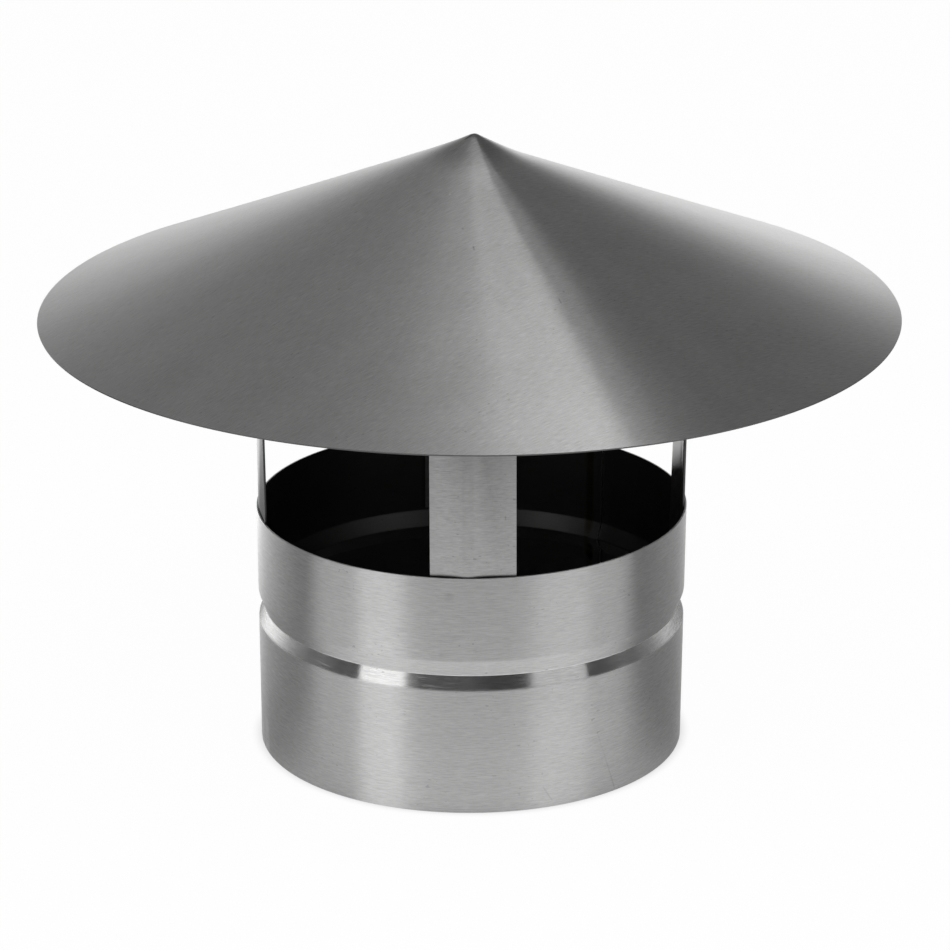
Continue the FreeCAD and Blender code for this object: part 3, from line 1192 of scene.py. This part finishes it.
@dataclass
class Studio:
    """The floor, the lamps, the surrounding light and the camera."""

    eye: tuple[float, float, float] = (0.0, -1.6487, 0.7023)
    pitch_down: float = 0.35147
    yaw: float = 0.00107
    roll: float = -0.00327
    lens_widths: float = FOCAL_LENGTH_IN_PIXELS / PHOTO_WIDTH_IN_PIXELS
    sensor: float = 36.0
    lamps: tuple[Softbox, ...] = (
        Softbox("left_box", round_about(-48.0, 1.2, 0.8), 0.64, 1.6, 1.2),
        Softbox("right_box", round_about(47.5, 1.2, 0.8), 0.78, 1.6, 0.6),
        Softbox("table_fill", (0.0, -1.0, 2.0), 1.6, 1.6, 2.5, on_gloss=False),
        *top_box(),
    )
    table_half: float = 6.0
    paper_grey: float = 0.85
    shown_white: float = 0.98
    under_collar: tuple[float, float] = (0.068, 0.08)
    table_glow: TableGlow = TableGlow()
    room_glow: RoomGlow = RoomGlow()

    def build(self) -> None:
        """Sets up everything around the object."""
        self._floor()
        self._surroundings()
        for lamp in self.lamps:
            lamp.hang()
        self._camera()
        bpy.context.scene.view_settings.view_transform = "Standard"

    def _floor(self) -> None:
        """A wide white table that keeps the object's shadow."""
        mesh = bmesh.new()
        bmesh.ops.create_grid(mesh, x_segments=1, y_segments=1, size=self.table_half)
        data = bpy.data.meshes.new("table")
        mesh.to_mesh(data)
        mesh.free()
        floor = add_object("table", data)
        material = bpy.data.materials.new("table_white")
        material.use_nodes = True
        graph = Graph(material.node_tree)
        white = (self.paper_grey, self.paper_grey, self.paper_grey, 1.0)
        paper = graph.node("ShaderNodeBsdfDiffuse", None, {"Color": white}).outputs[0]
        camera, glossy = self._seen_shares(graph)
        x, y, _ = graph.split(graph.node("ShaderNodeTexCoord").outputs["Object"])
        level = camera + (1.0 - camera) * self.table_glow.strength(graph, x, y)
        glow_inputs = {"Color": (1.0, 1.0, 1.0, 1.0), "Strength": level}
        glow = graph.node("ShaderNodeEmission", None, glow_inputs).outputs[0]
        # Painted shadow: the table's glow stops inside the collar's footprint.
        open_table = graph.smooth_step(graph.math("SQRT", x * x + y * y), *self.under_collar)
        seen = (camera + glossy) * self.shown_white * open_table
        mixed = graph.node("ShaderNodeMixShader", None, {0: seen, 1: paper, 2: glow}).outputs[0]
        graph.node("ShaderNodeOutputMaterial", None, {"Surface": mixed})
        data.materials.append(material)

    def _seen_shares(self, graph: Graph) -> tuple[Value, Value]:
        """One for the camera's own rays, and one for rays off gloss."""
        rays = graph.node("ShaderNodeLightPath")
        return Value(graph, rays.outputs["Is Camera Ray"]), Value(graph, rays.outputs["Is Glossy Ray"])

    def _surroundings(self) -> None:
        """White behind the object, as the camera sees it, and a dim room for the light that reaches it."""
        world = bpy.data.worlds.new("studio")
        world.use_nodes = True
        bpy.context.scene.world = world
        graph = Graph(world.node_tree)
        camera, _ = self._seen_shares(graph)
        level = camera + (1.0 - camera) * self.room_glow.strength(graph)
        colour = graph.node("ShaderNodeCombineColor", None, {0: level, 1: level, 2: level}).outputs[0]
        background = graph.node("ShaderNodeBackground", None, {"Color": colour, "Strength": 1.0}).outputs[0]
        graph.node("ShaderNodeOutputWorld", None, {"Surface": background})

    def _camera(self) -> None:
        """The camera, at the place and angle fitted to the photograph."""
        data = bpy.data.cameras.new("camera")
        data.sensor_width = self.sensor
        data.lens = self.sensor * self.lens_widths
        camera = add_object("camera", data)
        level, down = math.cos(self.pitch_down), math.sin(self.pitch_down)
        forward = Vector((math.sin(self.yaw) * level, math.cos(self.yaw) * level, -down))
        right = Vector((math.cos(self.yaw), -math.sin(self.yaw), 0.0))
        up = right.cross(forward)
        rolled_right = right * math.cos(self.roll) + up * math.sin(self.roll)
        rolled_up = up * math.cos(self.roll) - right * math.sin(self.roll)
        turn = Matrix((rolled_right, rolled_up, -forward)).transposed().to_4x4()
        camera.matrix_world = Matrix.Translation(self.eye) @ turn
        bpy.context.scene.camera = camera


def bore_radius() -> float:
    """The collar's inner radius, from the record's bore."""
    bore = next(mount for mount in frame["record"]["mounts"] if mount["kind"] == "bore")
    return bore["dims"]["r_mm"] * MILLIMETRE


def main() -> None:
    """Builds the studio and dresses each sub-assembly in order."""
    logging.basicConfig(level=logging.INFO, format="%(message)s")
    Studio().build()
    hood_low, hood_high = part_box("hood")
    collar = Collar(bore_radius=bore_radius(), height=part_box("collar")[1].z)
    hood = Hood(radius=(hood_high.x - hood_low.x) / 2, top=hood_high.z)
    for part in (collar, hood):
        part.dress(part.build())
    straps = (
        Strap("leg_front", hood),
        Strap("leg_right", hood, 1.4 * MILLIMETRE, 2.4 * MILLIMETRE, twist=math.radians(1.2), opened=0.1),
        Strap("leg_rear", hood),
        Strap("leg_left", hood, 0.3 * MILLIMETRE, 0.4 * MILLIMETRE, opened=0.05),
    )
    for strap in straps:
        strap.dress(strap.build())


if __name__ == "__main__":
    main()
